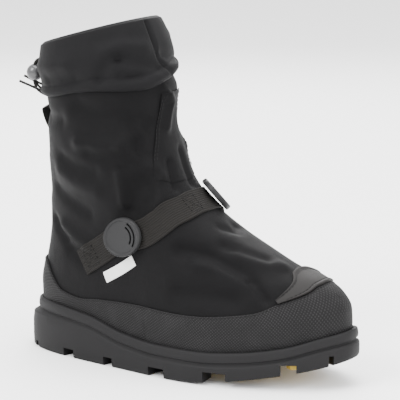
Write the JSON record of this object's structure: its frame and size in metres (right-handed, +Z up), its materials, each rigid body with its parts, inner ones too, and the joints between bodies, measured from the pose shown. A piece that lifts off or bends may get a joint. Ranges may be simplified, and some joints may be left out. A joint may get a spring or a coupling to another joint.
{
  "type": "insulated overboot",
  "caption": "Right insulated overboot: lugged sole with a cup rim, cloth rand, tall soft shaft, padded folded cuff, instep strap with two oval buckles, pull loop and cuff drawcord.",
  "frame": {"origin": "on the ground under the middle of the heel, at the round flat cleat there", "axes": "+X points to the toe, +Y to the wearer's left, which is the inner side of this right boot, and +Z up"},
  "size_m": [0.3439, 0.1237, 0.309],
  "materials": {
    "outsole_rubber": "matte",
    "tread_rubber": "matte",
    "insole_felt": "felted",
    "upper_nylon": "fine woven nylon, slight sheen",
    "rand_cloth": "coarse woven, coated",
    "toe_cap_rubber": "matte, fine grain",
    "cuff_nylon": "fine woven nylon",
    "strap_webbing": "ribbed webbing",
    "buckle_plastic": "fine matte",
    "label_cloth": "satin woven, plain",
    "lock_plastic": "glossy",
    "lock_button": "fine matte",
    "drawcord_cloth": "braided"
  },
  "bodies": {
    "root": {"outsole": "outsole_rubber", "tread_insert": "tread_rubber", "insole": "insole_felt", "upper": "upper_nylon", "rand": "rand_cloth", "toe_cap": "toe_cap_rubber", "cuff": "cuff_nylon", "closure_flap": "upper_nylon", "strap_webbing": "strap_webbing", "strap_anchor_lateral": "strap_webbing", "strap_anchor_medial": "strap_webbing", "buckle_lateral": "buckle_plastic", "buckle_medial": "buckle_plastic", "side_label": "label_cloth", "pull_loop": "strap_webbing", "cord_lock": "lock_plastic", "cord_lock_button": "lock_button", "drawcord_a": "drawcord_cloth", "drawcord_b": "drawcord_cloth"}
  },
  "joints": []
}
